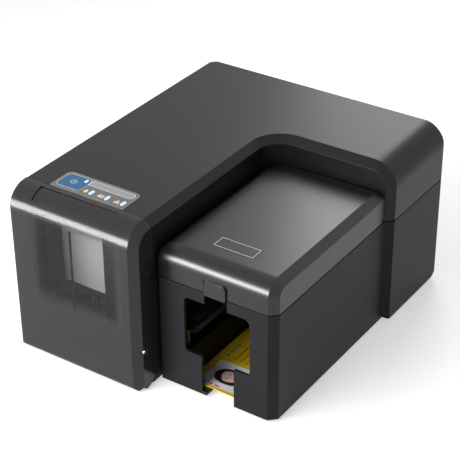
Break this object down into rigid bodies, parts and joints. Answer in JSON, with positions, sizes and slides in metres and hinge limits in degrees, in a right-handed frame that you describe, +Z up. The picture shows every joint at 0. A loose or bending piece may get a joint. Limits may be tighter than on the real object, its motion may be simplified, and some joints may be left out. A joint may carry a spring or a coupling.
{
  "type": "id card printer",
  "caption": "Desktop inkjet printer for plastic cards: L-shaped casing, tinted card door, hinged lid, stepped output mouth and working card feed.",
  "frame": {"origin": "middle of the overall footprint, on the surface the feet stand on", "axes": "+Z up; the card door and the output mouth face -Y; +X is to the right as seen from the front"},
  "size_m": [0.223, 0.267, 0.1425],
  "materials": {
    "casing_black": "fine satin grain",
    "cover_charcoal": "fine satin grain",
    "lid_gloss": "satin gloss",
    "door_smoke": "smoke-tinted, clear gloss",
    "badge_dark": "gloss",
    "panel_grey": "satin film",
    "key_blue": "satin",
    "lens_blue": "lit light pipe",
    "rubber_black": "matt",
    "rubber_grey": "matt",
    "belt_black": "matt",
    "steel_bright": "ground",
    "steel_plate": "zinc plated sheet",
    "magnet_grey": "nickel plated",
    "motor_can": "plated",
    "brass": "turned",
    "plastic_black": "moulded",
    "plastic_grey": "moulded",
    "plastic_ivory": "moulded",
    "card_white": "gloss card",
    "card_yellow": "gloss card",
    "board_green": "lacquered board",
    "connector_metal": "plated"
  },
  "bodies": {
    "casing": {"lower_case": "casing_black", "top_cover": "cover_charcoal", "rubber_feet": "rubber_black", "case_screws": "steel_bright", "control_panel": "panel_grey", "indicator_lenses": "lens_blue", "panel_board": "board_green", "key_switch": "plastic_black", "door_magnet": "magnet_grey", "door_hinge_pins": "steel_bright", "lid_hinge_pins": "steel_bright", "lid_hinge_brackets": "steel_plate", "card_hopper": "plastic_black", "blank_cards": "card_white", "output_bin": "plastic_black", "feed_plate_front": "steel_plate", "feed_plate_rear": "steel_plate", "card_platen": "plastic_black", "card_sensor": "plastic_black", "feed_belt": "belt_black", "feed_motor": "motor_can", "engine_frame_front": "steel_plate", "engine_frame_rear": "steel_plate", "carriage_rods": "steel_bright", "carriage_belt": "belt_black", "carriage_motor": "motor_can", "service_station": "plastic_grey", "wiper_blade": "rubber_grey", "main_board": "board_green", "rear_connectors": "connector_metal"},
    "power_key": {"power_button": "key_blue"},
    "door": {"front_door": "door_smoke", "door_rib": "plastic_black", "door_strike": "steel_plate", "door_side_screw": "steel_bright"},
    "lid": {"hopper_lid": "lid_gloss", "lid_badge": "badge_dark"},
    "weight": {"card_weight": "plastic_grey"},
    "finished_card": {"printed_card": "card_yellow"},
    "pick_roller": {"pick_shaft": "steel_bright", "pick_tyre": "rubber_grey", "pick_pulley": "plastic_ivory"},
    "infeed_roller": {"infeed_shaft": "steel_bright", "infeed_tyre": "rubber_grey", "infeed_pulley": "plastic_ivory", "feed_gear": "plastic_ivory"},
    "transport_roller": {"transport_shaft": "steel_bright", "transport_tyre": "rubber_grey", "transport_pulley": "plastic_ivory"},
    "exit_roller": {"exit_shaft": "steel_bright", "exit_tyre": "rubber_grey", "exit_pulley": "plastic_ivory"},
    "pinch_left": {"pinch_roller_left": "steel_bright"},
    "pinch_right": {"pinch_roller_right": "steel_bright"},
    "feed_rotor": {"motor_pinion": "brass"},
    "print_carriage": {"carriage": "plastic_black", "ink_cartridge": "plastic_black"},
    "carriage_rotor": {"motor_pulley": "brass"},
    "idler": {"idler_pulley": "plastic_ivory"},
    "cap": {"nozzle_cap": "rubber_grey"}
  },
  "joints": [
    {"name": "door_hinge", "type": "hinge", "parent": "casing", "child": "door", "pos_m": [0, -0.125, 0.0135], "axis": [1, 0, 0], "range_deg": [0, 70]},
    {"name": "lid_hinge", "type": "hinge", "parent": "casing", "child": "lid", "pos_m": [0.0555, 0.0417, 0.1141], "axis": [-1, 0, 0], "range_deg": [0, 60]},
    {"name": "power_key_press", "type": "slide", "parent": "casing", "child": "power_key", "axis": [0, 0, -1], "range_m": [0, 0.0006], "stiffness_N_per_m": 900},
    {"name": "infeed_spin", "type": "hinge", "parent": "casing", "child": "infeed_roller", "pos_m": [-0.03142, 0, 0.041], "axis": [0, 1, 0], "continuous": true},
    {"name": "pick_spin", "type": "hinge", "parent": "casing", "child": "pick_roller", "pos_m": [-0.06051, 0, 0.041], "axis": [0, 1, 0], "continuous": true},
    {"name": "transport_spin", "type": "hinge", "parent": "casing", "child": "transport_roller", "pos_m": [0, 0, 0.041], "axis": [0, 1, 0], "continuous": true},
    {"name": "exit_spin", "type": "hinge", "parent": "casing", "child": "exit_roller", "pos_m": [0.017, 0, 0.041], "axis": [0, 1, 0], "continuous": true},
    {"name": "pinch_left_spin", "type": "hinge", "parent": "casing", "child": "pinch_left", "pos_m": [-0.03142, 0, 0.0533], "axis": [0, 1, 0], "continuous": true},
    {"name": "pinch_right_spin", "type": "hinge", "parent": "casing", "child": "pinch_right", "pos_m": [0, 0, 0.0533], "axis": [0, 1, 0], "continuous": true},
    {"name": "feed_motor_spin", "type": "hinge", "parent": "casing", "child": "feed_rotor", "pos_m": [-0.01892, 0, 0.02805], "axis": [0, 1, 0], "continuous": true},
    {"name": "carriage_travel", "type": "slide", "parent": "casing", "child": "print_carriage", "axis": [0, -1, 0], "range_m": [0, 0.106]},
    {"name": "carriage_motor_spin", "type": "hinge", "parent": "casing", "child": "carriage_rotor", "pos_m": [0.0463, 0.0248, 0.098], "axis": [1, 0, 0], "range_deg": [-1146, 0]},
    {"name": "idler_spin", "type": "hinge", "parent": "casing", "child": "idler", "pos_m": [0.0463, -0.0944, 0.098], "axis": [1, 0, 0], "range_deg": [-1146, 0]},
    {"name": "nozzle_cap_press", "type": "slide", "parent": "casing", "child": "cap", "axis": [0, 0, -1], "range_m": [0, 0.0015], "stiffness_N_per_m": 300},
    {"name": "card_weight_lift", "type": "slide", "parent": "casing", "child": "weight", "axis": [0, 0, 1], "range_m": [0, 0.005]},
    {"name": "finished_card_lift", "type": "slide", "parent": "casing", "child": "finished_card", "axis": [0, 0, 1], "range_m": [0, 0.02]}
  ],
  "couplings": [
    {"joint": "pick_spin", "follows": "infeed_spin", "ratio": 1},
    {"joint": "transport_spin", "follows": "infeed_spin", "ratio": 1},
    {"joint": "exit_spin", "follows": "infeed_spin", "ratio": 1},
    {"joint": "pinch_left_spin", "follows": "infeed_spin", "ratio": -1.5556},
    {"joint": "pinch_right_spin", "follows": "infeed_spin", "ratio": -1.5556},
    {"joint": "feed_motor_spin", "follows": "infeed_spin", "ratio": -2},
    {"joint": "carriage_motor_spin", "follows": "carriage_travel", "rad_per_m": -188.68},
    {"joint": "idler_spin", "follows": "carriage_travel", "rad_per_m": -188.68}
  ]
}
